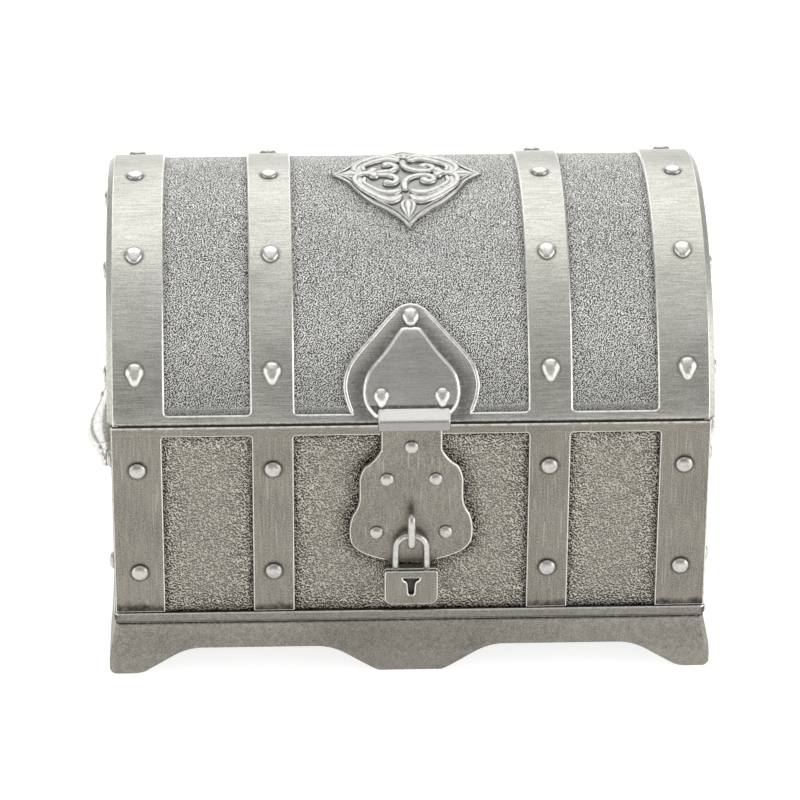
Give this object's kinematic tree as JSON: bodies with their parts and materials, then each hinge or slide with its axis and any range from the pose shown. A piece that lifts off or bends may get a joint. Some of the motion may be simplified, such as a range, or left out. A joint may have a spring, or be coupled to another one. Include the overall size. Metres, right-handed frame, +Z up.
{
  "type": "treasure chest box",
  "caption": "Small cast-metal keepsake box shaped like a treasure chest: studded strapwork, barrel lid on a rear hinge, hasp, hanging padlock, bow handles and a footed plinth.",
  "frame": {"origin": "on the surface the feet stand on, under the middle of the box", "axes": "+Z up, the lock side towards -Y, +X along the box to the right as seen from the lock side"},
  "size_m": [0.0896, 0.0667, 0.0624],
  "materials": {
    "plinth_metal": "antique pewter, brushed",
    "moulding_metal": "antique pewter, satin",
    "box_grain": "antique pewter, soft hammered grain",
    "box_strap_metal": "antique pewter, brushed upright",
    "stud_metal": "antique pewter, polished tops",
    "lock_plate_metal": "antique pewter, brushed",
    "wire_metal": "antique pewter, satin",
    "velvet": "short velvet pile on card",
    "hinge_metal": "antique pewter, satin",
    "handle_metal": "antique pewter, satin",
    "lid_grain": "antique pewter, fine sparkling grain",
    "lid_strap_metal": "antique pewter, brushed along the box",
    "hasp_metal": "antique pewter, brushed, bright bevel",
    "medallion_metal": "antique pewter, bright on the scrolls",
    "padlock_metal": "antique pewter, satin"
  },
  "bodies": {
    "box": {"plinth": "plinth_metal", "floor_plate": "moulding_metal", "front_panel": "box_grain", "rear_panel": "box_grain", "left_panel": "box_grain", "right_panel": "box_grain", "box_strapwork": "box_strap_metal", "box_studs": "stud_metal", "lock_plate": "lock_plate_metal", "lock_plate_studs": "stud_metal", "staple": "wire_metal", "floor_liner": "velvet", "wall_liner": "velvet", "hinge_leaf_box": "hinge_metal", "hinge_pin": "hinge_metal", "handle_left": "handle_metal", "handle_right": "handle_metal"},
    "lid": {"lid_barrel": "lid_grain", "lid_end_left": "lid_grain", "lid_end_right": "lid_grain", "lid_strapwork": "lid_strap_metal", "lid_studs": "stud_metal", "lid_end_studs": "stud_metal", "hasp": "hasp_metal", "hasp_studs": "stud_metal", "medallion": "medallion_metal", "lid_liner": "velvet", "lid_end_liners": "velvet", "hinge_leaf_lid": "hinge_metal"},
    "padlock": {"padlock_body": "padlock_metal", "padlock_shackle": "wire_metal"}
  },
  "joints": [
    {"name": "lid_hinge", "type": "hinge", "parent": "box", "child": "lid", "pos_m": [0, 0.03225, 0.0389], "axis": [-1, 0, 0], "range_deg": [0, 105]},
    {"name": "padlock_swing", "type": "hinge", "parent": "box", "child": "padlock", "pos_m": [0, -0.03135, 0.02184], "axis": [-1, 0, 0], "range_deg": [0, 90]}
  ]
}
